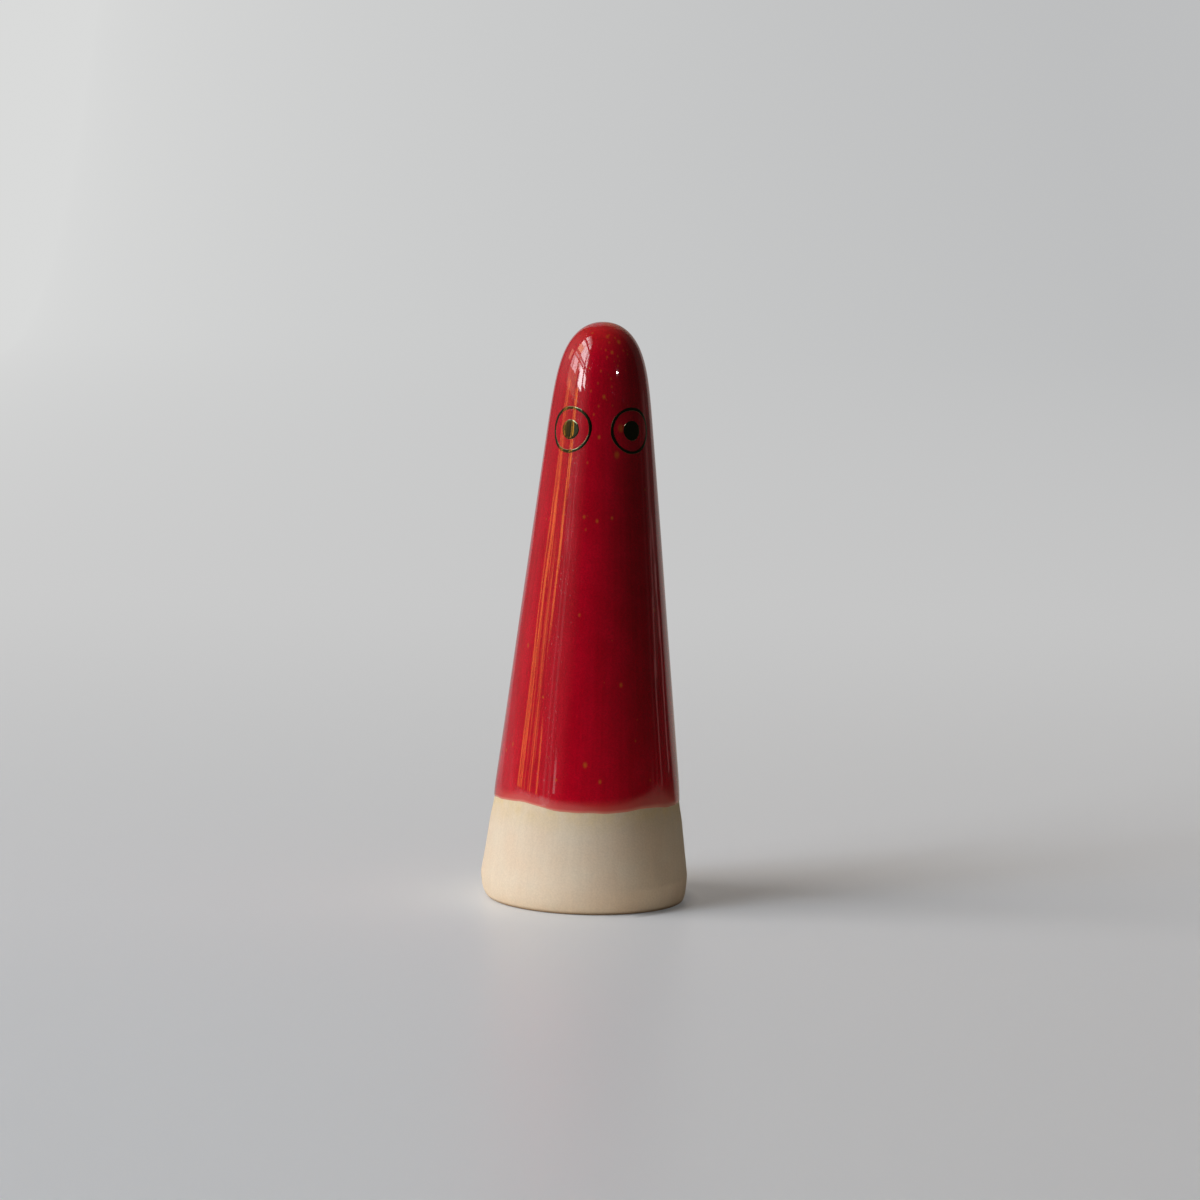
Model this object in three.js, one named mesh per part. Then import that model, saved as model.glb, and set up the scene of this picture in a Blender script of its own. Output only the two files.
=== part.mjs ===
// A small ceramic ghost: a hollow, thick-walled clay cone with a bare foot, dipped tip-down in a
// glossy red glaze, with two ring-and-dot eyes fired onto the glaze in a dark lustre.
// Millimetres, +Z up. The origin is the centre of the foot's flat underside, and the ghost looks
// towards -Y. An azimuth is counted from -Y towards +X.

import * as THREE from "three";

// The finished outline, glaze included
const HEIGHT = 111.5;
const FOOT_RADIUS = 20; // the widest place, where the foot's rounding ends
const SHOULDER_RADIUS = 10.97; // where the cone ends and the dome begins
const DOME_HEIGHT = 27.9;
const DOME_FULLNESS = 6; // a power: the higher, the longer the dome stays as wide as the cone
const DOME_ROUNDNESS = 2.14; // a power: 2 closes the tip as an ellipse does
const LEAN = THREE.MathUtils.degToRad(0.6); // the hand-made body leans a little towards +X

// The bare clay foot
const FOOT_ROUND_HEIGHT = 4.9;
const FOOT_ROUND_DEPTH = 1.95;
const FOOT_FLARE = 0.25; // how far the foot spreads past the cone's straight taper
const FOOT_FLAT = 2.4; // width of the flat ring that the ghost stands on
const RIM_ROUND = 1.2; // rounding of the mouth's edge
const WALL = 3.5; // clay wall at the shoulder and over the dome

// The glaze coat and its wavy lower edge
const GLAZE_LINE = 19.73; // mean height of the edge
const GLAZE_THICKNESS = 0.3;
const GLAZE_CLEARANCE = 0.05; // between the coat and the clay
const LIP_HEIGHT = 2.4; // the coat thins to its edge over this height
const CLAY_SWELL_HEIGHT = 1.2; // the clay comes out to the full outline this far below the edge
// The edge's waves: how many go round, how high each is, and the degrees that it is turned by
const LINE_WAVES = [
  { count: 2, height: 0.25, degrees: -179 },
  { count: 4, height: 0.39, degrees: -71 },
  { count: 9, height: 0.12, degrees: 100 },
];
const WAVE_REACH = 8; // the waves die away this far above and below the edge

// The eyes
const EYE_DROP = 19.95; // from the tip down to the middle of the eyes
const EYE_AZIMUTH = THREE.MathUtils.degToRad(35.7);
const RING_DIAMETER = 8.85;
const RING_LINE = 0.45;
const PUPIL_DIAMETER = 3.85;
const LUSTRE_THICKNESS = 0.1;
const LUSTRE_CLEARANCE = 0.05; // between an eye and the glaze

// Facets
const TURN_STEPS = 64;
const FOOT_STEPS = 6;
const FLARE_STEPS = 4;
const SWELL_STEPS = 4;
const LIP_STEPS = 5;
const FLANK_STEPS = 4;
const DOME_STEPS = 12;
const CAVITY_DOME_STEPS = 8;
const RIM_STEPS = 3;
const RING_STEPS = 48;
const RING_SIDES = 6;
const PUPIL_STEPS = 32;

const SHOULDER_HEIGHT = HEIGHT - DOME_HEIGHT;
const EYE_HEIGHT = HEIGHT - EYE_DROP;
const CLAY_DEPTH = GLAZE_THICKNESS + GLAZE_CLEARANCE;
const CAVITY_DEPTH = CLAY_DEPTH + WALL;
const SWELL_START = GLAZE_LINE - CLAY_SWELL_HEIGHT;
const MOUTH_RADIUS = FOOT_RADIUS - FOOT_ROUND_DEPTH - FOOT_FLAT - RIM_ROUND;

// Radius of the outline below the dome: a quarter ellipse round the foot, then an even taper to
// the shoulder, to which the foot's flare adds a parabola that ends at the glaze line.
function coneRadius(z) {
  if (z < FOOT_ROUND_HEIGHT) {
    const below = 1 - z / FOOT_ROUND_HEIGHT;
    return FOOT_RADIUS - FOOT_ROUND_DEPTH * (1 - Math.sqrt(1 - below ** 2));
  }
  const straight = FOOT_RADIUS - FOOT_FLARE;
  const taper = (straight - SHOULDER_RADIUS) / (SHOULDER_HEIGHT - FOOT_ROUND_HEIGHT);
  const low = Math.max(0, (GLAZE_LINE - z) / (GLAZE_LINE - FOOT_ROUND_HEIGHT));
  return straight - taper * (z - FOOT_ROUND_HEIGHT) + FOOT_FLARE * low ** 2;
}

// How much of the cone's radius is left at a height inside a dome that ends a depth below the tip.
function domeShare(z, depth) {
  const rise = THREE.MathUtils.clamp((z - SHOULDER_HEIGHT) / (DOME_HEIGHT - depth), 0, 1);
  return (1 - rise ** DOME_FULLNESS) ** (1 / DOME_ROUNDNESS);
}

// Radius of the outline set in by a depth.
function outlineRadius(z, depth) {
  return (coneRadius(z) - depth) * domeShare(z, depth);
}

// Radius of the hollow: a straight taper from the mouth to the shoulder, and a dome of its own.
function cavityRadius(z) {
  const taper = (MOUTH_RADIUS - (SHOULDER_RADIUS - CAVITY_DEPTH)) / SHOULDER_HEIGHT;
  return (MOUTH_RADIUS - taper * z) * domeShare(z, CAVITY_DEPTH);
}

// Profile points up a stretch of heights, evenly spaced, without the last one.
function climb(from, to, steps, radiusAt) {
  return Array.from({ length: steps }, (_, i) => {
    const z = THREE.MathUtils.lerp(from, to, i / steps);
    return new THREE.Vector2(radiusAt(z), z);
  });
}

// Profile points over a dome, closer together towards its tip, which lies on the axis.
function dome(depth, steps, radiusAt) {
  const points = Array.from({ length: steps }, (_, i) => {
    const z = SHOULDER_HEIGHT + (DOME_HEIGHT - depth) * Math.sin(((i / steps) * Math.PI) / 2);
    return new THREE.Vector2(radiusAt(z), z);
  });
  return [...points, new THREE.Vector2(0, HEIGHT - depth)];
}

// Profile points along the cone and dome, set in by a depth, from a height up to the tip.
function flankAndDome(from, depth) {
  const radiusAt = (z) => outlineRadius(z, depth);
  return [...climb(from, SHOULDER_HEIGHT, FLANK_STEPS, radiusAt), ...dome(depth, DOME_STEPS, radiusAt)];
}

// Height of the glaze's edge above or below its mean, all round.
function lineWave(azimuth) {
  const waves = LINE_WAVES.map(({ count, height, degrees }) => {
    return height * Math.sin(count * azimuth + THREE.MathUtils.degToRad(degrees));
  });
  return waves.reduce((sum, wave) => sum + wave, 0);
}

// Turns a profile about Z, carries what is near the glaze's edge up and down with its waves, and
// leans the whole. Clay and glaze go through the same turning, so that one fits the other.
function turned(profile) {
  const geometry = new THREE.LatheGeometry(profile, TURN_STEPS).rotateX(Math.PI / 2);
  const position = geometry.getAttribute("position");
  for (let i = 0; i < position.count; i++) {
    const azimuth = Math.atan2(position.getX(i), -position.getY(i));
    const z = position.getZ(i);
    const near = THREE.MathUtils.smoothstep(WAVE_REACH - Math.abs(z - GLAZE_LINE), 0, WAVE_REACH);
    position.setZ(i, z + near * lineWave(azimuth));
  }
  return leaned(geometry);
}

// Shifts each level sideways by its height, so that the foot stays flat and round.
function leaned(geometry) {
  const position = geometry.getAttribute("position");
  for (let i = 0; i < position.count; i++) {
    position.setX(i, position.getX(i) + position.getZ(i) * Math.tan(LEAN));
  }
  return geometry;
}

// Lays a flat shape on the glaze at an azimuth, with its x round the body, its y up and its z out.
function laidOnGlaze(geometry, azimuth) {
  const position = geometry.getAttribute("position");
  const lift = LUSTRE_CLEARANCE + LUSTRE_THICKNESS / 2;
  for (let i = 0; i < position.count; i++) {
    const z = EYE_HEIGHT + position.getY(i);
    const surface = outlineRadius(z, 0);
    const angle = azimuth + position.getX(i) / surface;
    const radius = surface + lift + position.getZ(i);
    position.setXYZ(i, radius * Math.sin(angle), -radius * Math.cos(angle), z);
  }
  return leaned(geometry);
}

// The fired clay: an open-based shell with a rounded mouth, a flat ring to stand on, a rounded
// foot, a bare flank that draws in under the glaze's edge, and the covered cone and dome.
function clayBody() {
  const hollow = [
    ...climb(RIM_ROUND, SHOULDER_HEIGHT, FLANK_STEPS, cavityRadius),
    ...dome(CAVITY_DEPTH, CAVITY_DOME_STEPS, cavityRadius),
  ];
  const rim = Array.from({ length: RIM_STEPS }, (_, i) => {
    const turn = ((i / RIM_STEPS) * Math.PI) / 2;
    const radius = cavityRadius(RIM_ROUND) + RIM_ROUND * (1 - Math.sin(turn));
    return new THREE.Vector2(radius, RIM_ROUND * (1 - Math.cos(turn)));
  });
  const foot = Array.from({ length: FOOT_STEPS }, (_, i) => {
    const z = FOOT_ROUND_HEIGHT * (1 - Math.cos(((i / FOOT_STEPS) * Math.PI) / 2));
    return new THREE.Vector2(coneRadius(z), z);
  });
  const flare = climb(FOOT_ROUND_HEIGHT, SWELL_START, FLARE_STEPS, coneRadius);
  const swell = climb(SWELL_START, GLAZE_LINE, SWELL_STEPS, (z) =>
    outlineRadius(z, CLAY_DEPTH * THREE.MathUtils.smoothstep(z, SWELL_START, GLAZE_LINE)),
  );
  const inside = [...rim, ...hollow].reverse();
  return turned([...inside, ...foot, ...flare, ...swell, ...flankAndDome(GLAZE_LINE, CLAY_DEPTH)]);
}

// The glaze coat: an even skin over cone and dome, whose outer face rolls in to a thin edge.
function redGlaze() {
  const inside = flankAndDome(GLAZE_LINE, GLAZE_THICKNESS).reverse();
  const lip = Array.from({ length: LIP_STEPS - 1 }, (_, i) => {
    const turn = (((i + 1) / LIP_STEPS) * Math.PI) / 2;
    const z = GLAZE_LINE + LIP_HEIGHT * (1 - Math.cos(turn));
    return new THREE.Vector2(outlineRadius(z, GLAZE_THICKNESS * (1 - Math.sin(turn))), z);
  });
  return turned([...inside, ...lip, ...flankAndDome(GLAZE_LINE + LIP_HEIGHT, 0)]);
}

// An eye's line: a flattened round wire, bent to the glaze.
function eyeRing(azimuth) {
  const ring = new THREE.TorusGeometry((RING_DIAMETER - RING_LINE) / 2, RING_LINE / 2, RING_SIDES, RING_STEPS);
  return laidOnGlaze(ring.scale(1, 1, LUSTRE_THICKNESS / RING_LINE), azimuth);
}

// An eye's dot: a thin disc, bent to the glaze.
function pupil(azimuth) {
  const edge = PUPIL_DIAMETER / 2;
  const half = LUSTRE_THICKNESS / 2;
  const profile = [
    new THREE.Vector2(0, -half),
    new THREE.Vector2(edge / 2, -half),
    new THREE.Vector2(edge, -half),
    new THREE.Vector2(edge, half),
    new THREE.Vector2(edge / 2, half),
    new THREE.Vector2(0, half),
  ];
  return laidOnGlaze(new THREE.LatheGeometry(profile, PUPIL_STEPS).rotateX(Math.PI / 2), azimuth);
}

function rawClay() {
  return new THREE.MeshStandardMaterial({ color: 0xdcc9a9, roughness: 0.85 });
}

function glossyRed() {
  return new THREE.MeshStandardMaterial({ color: 0xa00a1c, roughness: 0.08 });
}

function darkLustre() {
  return new THREE.MeshStandardMaterial({ color: 0x1e1b10, roughness: 0.25, metalness: 0.8 });
}

function named(name, geometry, material) {
  const mesh = new THREE.Mesh(geometry, material);
  mesh.name = name;
  return mesh;
}

const ghost = new THREE.Group();
ghost.add(
  named("clay_body", clayBody(), rawClay()),
  named("red_glaze", redGlaze(), glossyRed()),
  named("left_eye_ring", eyeRing(-EYE_AZIMUTH), darkLustre()),
  named("left_pupil", pupil(-EYE_AZIMUTH), darkLustre()),
  named("right_eye_ring", eyeRing(EYE_AZIMUTH), darkLustre()),
  named("right_pupil", pupil(EYE_AZIMUTH), darkLustre()),
);

export default ghost;
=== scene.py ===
"""A small ceramic ghost: a slim domed cone in red glaze over a bare clay foot, with ring-and-dot eyes.

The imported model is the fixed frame. Each of its nodes is replaced by a fine surface of the same form,
worked out with numpy and finished with procedural materials. Everything is in metres, +Z up, and the
ghost looks towards -Y. An azimuth is counted from -Y towards +X.
"""

import math

import bpy
import numpy as np
from bpy.props import FloatProperty, FloatVectorProperty, IntProperty, PointerProperty
from mathutils import Matrix, Vector


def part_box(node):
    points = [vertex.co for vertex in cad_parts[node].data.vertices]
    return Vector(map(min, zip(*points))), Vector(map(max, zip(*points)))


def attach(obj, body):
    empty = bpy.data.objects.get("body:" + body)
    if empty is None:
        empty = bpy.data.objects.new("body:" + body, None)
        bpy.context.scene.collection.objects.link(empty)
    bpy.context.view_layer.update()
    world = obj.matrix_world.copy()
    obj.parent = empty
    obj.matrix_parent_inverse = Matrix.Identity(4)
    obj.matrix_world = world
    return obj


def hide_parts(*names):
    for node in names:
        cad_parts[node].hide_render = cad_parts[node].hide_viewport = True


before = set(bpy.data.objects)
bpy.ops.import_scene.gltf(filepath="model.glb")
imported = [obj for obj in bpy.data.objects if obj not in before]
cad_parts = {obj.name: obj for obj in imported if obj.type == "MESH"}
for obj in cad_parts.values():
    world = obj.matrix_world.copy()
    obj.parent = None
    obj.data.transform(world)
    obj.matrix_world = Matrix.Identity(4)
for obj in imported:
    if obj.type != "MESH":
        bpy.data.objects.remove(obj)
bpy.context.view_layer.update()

bl_info = {
    "name": "Ceramic Ghost",
    "version": (1, 0, 0),
    "blender": (4, 5, 0),
    "location": "View3D > Sidebar > Ghost",
    "description": "Makes a dip-glazed ceramic ghost and the small studio that it stands in",
    "category": "Add Mesh",
}

MM = 0.001
BODY = "root"

# The frame's own measures: the tip of the coat, and the foot, which the lean doesn't widen along Y
TIP_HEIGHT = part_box("red_glaze")[1].z
FOOT_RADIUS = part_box("clay_body")[1].y

# The edge's waves: how many go round, how high each is, and the degrees that it is turned by
LINE_WAVES = ((2, 0.25 * MM, -179), (4, 0.39 * MM, -71), (9, 0.12 * MM, 100), (23, 0.03 * MM, 40))
# The marks of the maker's fingers in the clay, and the slow swells of the fired coat, in the same way,
# each with the height over which a wave climbs once more round
HAND_WAVES = ((3, 0.035 * MM, 20, 61 * MM), (7, 0.016 * MM, 75, 23 * MM), (13, 0.009 * MM, 200, 17 * MM))
COAT_WAVES = ((4, 0.030 * MM, 130, 83 * MM), (9, 0.008 * MM, 10, 37 * MM), (17, 0.002 * MM, 260, 29 * MM))

# A speck is drawn out upwards, as the coat ran before it was fired
DRAWN_SPECK = (1.0, 1.0, 1.4)
# The larger specks in the coat: azimuth in degrees, height and diameter in millimetres
LARGE_SPECKS = (
    (-13.1, 75.3, 0.62), (-1.1, 74.6, 0.66), (12.6, 75.2, 0.60), (-36.2, 40.8, 0.50), (20.5, 43.7, 0.80),
    (-69.6, 29.3, 0.60), (-3.1, 28.6, 0.95), (6.6, 25.5, 0.75), (-21.2, 25.5, 0.50), (-2.1, 90.4, 0.65),
    (17.3, 87.1, 1.20), (21.9, 92.1, 1.30), (1.9, 98.0, 0.75), (12.6, 106.3, 0.70), (27.5, 108.2, 0.90),
)
# The smaller and fainter ones, most of them about the tip: azimuth in degrees and height in millimetres
SMALL_SPECKS = (
    (10, 109.4), (22, 108.9), (9, 108.1), (33, 110.6), (21, 105.6), (3, 106.7), (5, 105.4),
    (-19, 103.3), (3, 97.8), (-14, 99.0), (11, 99.9), (-6, 100.5), (-4, 96.2), (-9, 94.6),
    (38, 105.9), (32, 106.6), (10, 101.4), (-54, 110.2), (20, 103.8), (-3, 102.8), (31, 33.0),
    (42, 25.3), (-11, 72.9), (-13, 85.5), (140, 104.0), (-120, 107.0), (171, 99.0), (-158, 101.0),
)
SMALL_SPECK = 0.50
# A placed speck has faded out at this share of its diameter from its middle
SPECK_SPREAD = 0.65


def length(name, description, default):
    """A property that holds a size or a place."""
    return FloatProperty(name=name, description=description, default=default, unit="LENGTH", precision=5)


def angle(name, description, degrees):
    """A property that holds an angle, whose default is given in degrees."""
    return FloatProperty(name=name, description=description, default=math.radians(degrees), subtype="ANGLE")


def number(name, description, default):
    """A property that holds a plain number."""
    return FloatProperty(name=name, description=description, default=default, min=0.0)


def count(name, description, default):
    """A property that holds how many rows or columns a surface has."""
    return IntProperty(name=name, description=description, default=default, min=3)


def colour(name, description, default):
    """A property that holds a linear colour."""
    return FloatVectorProperty(
        name=name, description=description, default=default, size=3, min=0.0, max=1.0, subtype="COLOR"
    )


class GhostShape(bpy.types.PropertyGroup):
    """The turned form."""

    height: length("Height", "From the foot to the tip", TIP_HEIGHT)
    foot_radius: length("Foot Radius", "Widest place, where the foot's rounding ends", FOOT_RADIUS)
    shoulder_radius: length("Shoulder Radius", "Where the cone ends and the dome begins", 10.97 * MM)
    dome_height: length("Dome Height", "From the shoulder to the tip", 27.9 * MM)
    dome_fullness: number("Dome Fullness", "How long the dome stays as wide as the cone", 6.0)
    dome_roundness: number("Dome Roundness", "How the tip closes; 2 is an ellipse", 2.14)
    lean: angle("Lean", "How far the hand-made body leans towards +X", 0.6)
    foot_round_height: length("Foot Round Height", "Height of the foot's rounding", 4.9 * MM)
    foot_round_depth: length("Foot Round Depth", "How far the rounding draws in", 1.95 * MM)
    foot_fullness: number("Foot Fullness", "Share of the rounding that the foot's fullest side lacks", 0.55)
    foot_full_azimuth: angle("Foot Full Azimuth", "Where the foot is fullest", 75.0)
    foot_flare: length("Foot Flare", "How far the foot spreads past the cone's taper", 0.25 * MM)
    foot_flat: length("Foot Flat", "Width of the ring that the ghost stands on", 2.4 * MM)
    foot_grit: length("Foot Grit", "Unevenness of the ring that the ghost stands on", 0.03 * MM)
    rim_round: length("Rim Round", "Rounding of the mouth's edge", 1.2 * MM)
    wall: length("Wall", "Clay wall at the shoulder and over the dome", 3.5 * MM)
    ring_height: length("Throwing Rings", "Height of the spiral ridges inside", 0.10 * MM)
    ring_pitch: length("Throwing Ring Pitch", "Rise of the spiral in one turn", 3.4 * MM)
    ring_start: length("Throwing Ring Start", "Height from which the ridges are whole", 3.6 * MM)
    columns: count("Columns", "Points round the body", 288)


class GhostGlaze(bpy.types.PropertyGroup):
    """The dipped coat and its wavy lower edge."""

    line_height: length("Line Height", "Mean height of the coat's edge", 19.73 * MM)
    thickness: length("Thickness", "Coat on the clay", 0.3 * MM)
    bite: length("Bite", "How far the fired coat has sunk into the clay", 0.02 * MM)
    lip_height: length("Lip Height", "The coat thins to its edge over this height", 3.4 * MM)
    lip_run: length("Lip Run", "Added height of the lip where the glaze ran longest", 3.6 * MM)
    run_azimuth: angle("Run Azimuth", "Where the glaze ran longest", 82.0)
    run_narrowness: number("Run Narrowness", "A power: the higher, the narrower the run", 5.0)
    swell_height: length("Swell Height", "The clay reaches the outline this far below the edge", 5.0 * MM)
    wave_reach: length("Wave Reach", "The edge's waves die away this far above and below it", 8.0 * MM)


class GhostEyes(bpy.types.PropertyGroup):
    """The two fired-on eyes, each a ring round a dot."""

    drop: length("Drop", "From the tip down to the middle of the eyes", 19.95 * MM)
    azimuth: angle("Azimuth", "How far each eye lies from the middle of the face", 35.7)
    ring_diameter: length("Ring Diameter", "Outside of the line", 8.85 * MM)
    ring_line: length("Ring Line", "Width of the line", 0.57 * MM)
    pupil_diameter: length("Pupil Diameter", "Width of the dot", 3.85 * MM)
    relief: length("Relief", "How far the lustre stands proud of the coat", 0.035 * MM)
    bite: length("Bite", "How far the lustre has sunk into the coat", 0.02 * MM)
    unevenness: number("Unevenness", "How far the drawn outline strays, as a share of its radius", 0.016)
    line_unevenness: number("Line Unevenness", "How far the line's width strays, as a share", 0.16)
    pupil_edge: number("Pupil Edge", "A power: the higher, the flatter the dot up to its edge", 8.0)
    ring_columns: count("Ring Columns", "Points along the line", 192)
    ring_rows: count("Ring Rows", "Points across the line", 20)
    pupil_columns: count("Pupil Columns", "Points round the dot", 96)
    pupil_rows: count("Pupil Rows", "Points from the dot's middle to its edge", 22)


class GhostFinish(bpy.types.PropertyGroup):
    """Colours of the clay, the coat and the lustre."""

    clay: colour("Clay", "Bare fired clay", (0.705, 0.63, 0.525))
    clay_shade: colour("Clay Shade", "Darker patches of the clay", (0.71, 0.60, 0.485))
    clay_stain: colour("Clay Stain", "Clay just under the coat's edge", (0.70, 0.575, 0.36))
    # The colour of the clay's dark pits, and of the painted contact shade along the foot's lower edge
    clay_pits_and_foot_shade: colour("Clay Pits And Foot Shade", "Dark pits, and the painted contact shade at the foot's edge", (0.32, 0.225, 0.145))
    glaze: colour("Glaze", "Thick red glaze", (0.55, 0.001, 0.019))
    glaze_shade: colour("Glaze Shade", "Deeper streaks of the glaze", (0.45, 0.0, 0.013))
    glaze_thin: colour("Thin Glaze", "Glaze where it thins over the lip", (0.56, 0.055, 0.050))
    glaze_edge: colour("Glaze Edge", "Blush where the coat ends", (0.66, 0.23, 0.17))
    speck: colour("Speck", "Orange specks in the glaze", (0.60, 0.150, 0.015))
    lustre: colour("Lustre", "Fired-on dark bronze", (0.066, 0.080, 0.050))
    lustre_gold: colour("Lustre Gold", "Thinner flecks of the lustre", (0.12, 0.11, 0.05))


class GhostStudio(bpy.types.PropertyGroup):
    """The camera, the floor and the daylight that falls in from the left."""

    camera_azimuth: angle("Camera Azimuth", "Where the camera stands", -1.2)
    camera_elevation: angle("Camera Elevation", "How far the camera looks down", 7.5)
    camera_roll: angle("Camera Roll", "How far the camera is turned about its view", 1.48)
    camera_distance: length("Camera Distance", "From the camera to its target", 0.9)
    target_side: length("Target Side", "The target lies this far to the right of the origin", 1.75 * MM)
    target_height: length("Target Height", "Height of the camera's target", 57.98 * MM)
    lens: number("Lens", "Focal length in millimetres on a 36 mm sensor", 140.4)
    window_distance: length("Window Distance", "From the ghost to the plane of the window", 2.0)
    window_light: number("Window Light", "Radiance of the panes", 7.25)
    window_colour: colour("Window Colour", "Colour of the daylight", (0.97, 0.99, 1.0))
    warm_colour: colour("Warm Colour", "Panes that something warm stands behind", (1.0, 0.70, 0.42))
    glow_colour: colour("Glow Colour", "Warm strips beside the window", (1.0, 0.36, 0.055))
    ember_colour: colour("Ember Colour", "Dim strips behind on the right", (1.0, 0.45, 0.43))
    floor_colour: colour("Floor Colour", "Pale table top", (0.84, 0.90, 0.985))
    sheet_colour: colour("Sheet Colour", "What the table top near the ghost sends back", (0.95, 0.83, 0.67))
    bounce_colour: colour("Bounce Colour", "What the table top just before it throws up", (0.93, 0.87, 0.79))
    surround_colour: colour("Surround Colour", "What the floor's far parts send back", (0.03, 0.025, 0.02))
    backdrop_left: colour("Backdrop Left", "Low on the window's side", (0.634, 0.634, 0.634))
    backdrop_right: colour("Backdrop Right", "Low on the far side", (0.54, 0.54, 0.54))
    backdrop_top_left: colour("Backdrop Top Left", "High on the window's side", (0.70, 0.705, 0.70))
    backdrop_top_right: colour("Backdrop Top Right", "High on the far side", (0.512, 0.517, 0.522))
    gleam_left: colour("Gleam Left", "Share of its left side that is mirrored", (0.62, 0.62, 0.62))
    gleam_right: colour("Gleam Right", "Share of its right side that is mirrored", (0.75, 0.64, 0.59))
    dim_colour: colour("Dim Colour", "Tint of the room's dim walls", (1.0, 0.89, 0.76))


class Form:
    """Radii, heights and places of the ghost, worked out as whole arrays from the scene's settings."""

    def __init__(self, scene):
        self.shape = scene.ghost_shape
        self.glaze = scene.ghost_glaze
        shape = self.shape
        self.shoulder_height = shape.height - shape.dome_height
        self.cavity_depth = self.glaze.thickness + shape.wall
        self.mouth_radius = shape.foot_radius - shape.foot_round_depth - shape.foot_flat - shape.rim_round
        self.azimuths = np.linspace(-math.pi, math.pi, shape.columns, endpoint=False)[None, :]

    def cone(self, z):
        """Radius below the dome: an even taper to the shoulder, plus a parabola of flare that ends at the
        glaze line, less a quarter ellipse of rounding at the foot."""
        shape = self.shape
        straight = shape.foot_radius - shape.foot_flare
        taper = (straight - shape.shoulder_radius) / (self.shoulder_height - shape.foot_round_height)
        above = np.maximum(z, shape.foot_round_height)
        low = np.clip(
            (self.glaze.line_height - above) / (self.glaze.line_height - shape.foot_round_height), 0.0, 1.0
        )
        flare = shape.foot_flare * low**2
        return straight - taper * (above - shape.foot_round_height) + flare - self.foot_rounding(z)

    def foot_rounding(self, z):
        """How far the foot is drawn in: a quarter ellipse from the floor up to the rounding's height."""
        below = np.clip(1.0 - z / self.shape.foot_round_height, 0.0, 1.0)
        return self.shape.foot_round_depth * (1.0 - np.sqrt(1.0 - below**2))

    def fuller_foot(self, z):
        """What the rounding lacks on the foot's fuller side: a share of it, by the cube of a cosine."""
        near = (1.0 + np.cos(self.azimuths - self.shape.foot_full_azimuth)) / 2.0
        return self.shape.foot_fullness * near**3 * self.foot_rounding(z)

    def dome(self, z, depth):
        """Share of the cone's radius left inside a dome that ends a depth below the tip: a superellipse."""
        rise = np.clip((z - self.shoulder_height) / (self.shape.dome_height - depth), 0.0, 1.0)
        return (1.0 - rise**self.shape.dome_fullness) ** (1.0 / self.shape.dome_roundness)

    def outline(self, z, depth=0.0):
        """Radius of the finished outline, set in by a depth."""
        return (self.cone(z) - depth) * self.dome(z, depth)

    def cavity(self, z):
        """Radius of the hollow: a straight taper from the mouth to the shoulder, and a dome of its own."""
        top_radius = self.shape.shoulder_radius - self.cavity_depth
        taper = (self.mouth_radius - top_radius) / self.shoulder_height
        return (self.mouth_radius - taper * z) * self.dome(z, self.cavity_depth)

    def dome_heights(self, depth, rows):
        """Heights over a dome from its tip down to the shoulder, closer together towards the tip."""
        turn = np.linspace(math.pi / 2, 0.0, rows)[:, None]
        return self.shoulder_height + (self.shape.dome_height - depth) * np.sin(turn)

    def line_wave(self, azimuth):
        """Height of the coat's edge above or below its mean: the sum of the line's sine waves."""
        return sum(high * np.sin(many * azimuth + math.radians(turn)) for many, high, turn in LINE_WAVES)

    def waved(self, z):
        """Heights carried up and down with the coat's edge, fading out a reach above and below it."""
        reach = self.glaze.wave_reach
        near = smooth_step(reach - np.abs(z - self.glaze.line_height), 0.0, reach)
        return z + near * self.line_wave(self.azimuths)

    def lip(self):
        """Height over which the coat thins, all round: longest where the glaze ran, by a power of the
        cosine of the azimuth from there."""
        run = (1.0 + np.cos(self.azimuths - self.glaze.run_azimuth)) / 2.0
        return self.glaze.lip_height + self.glaze.lip_run * run**self.glaze.run_narrowness

    def place(self, radius, z, azimuth):
        """Points at a radius, a height and an azimuth, each level shifted towards +X by the lean."""
        radius, z, azimuth = np.broadcast_arrays(radius, z, azimuth)
        x = radius * np.sin(azimuth) + z * math.tan(self.shape.lean)
        return np.stack([x, -radius * np.cos(azimuth), z], axis=-1)

    def unrolled(self, z):
        """The same points on a cylinder as wide as the foot, so that a pattern can run along the flank
        without a seam: the sine and cosine of the azimuth times that radius, and the height."""
        z, azimuth = np.broadcast_arrays(z, self.azimuths)
        radius = self.shape.foot_radius
        return np.stack([radius * np.sin(azimuth), -radius * np.cos(azimuth), z], axis=-1)


def smooth_step(value, low, high):
    """0 below low, 1 above high, and t * t * (3 - 2 t) between, where t is the share of the way."""
    share = np.clip((value - low) / (high - low), 0.0, 1.0)
    return share * share * (3.0 - 2.0 * share)


def ripple(waves, azimuth, z):
    """Sine waves round the body, each wound up it like a screw thread of a given pitch and lowered by its
    own height, so that together they only draw the surface in."""
    return sum(
        high * (np.sin(many * azimuth + math.radians(turn) + math.tau * z / pitch) - 1.0)
        for many, high, turn, pitch in waves
    )


def rows_between(start, end, steps):
    """A column of even shares of the way from start to end, start included and end left out."""
    share = np.linspace(0.0, 1.0, steps, endpoint=False)[:, None]
    return start + (end - start) * share


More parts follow.
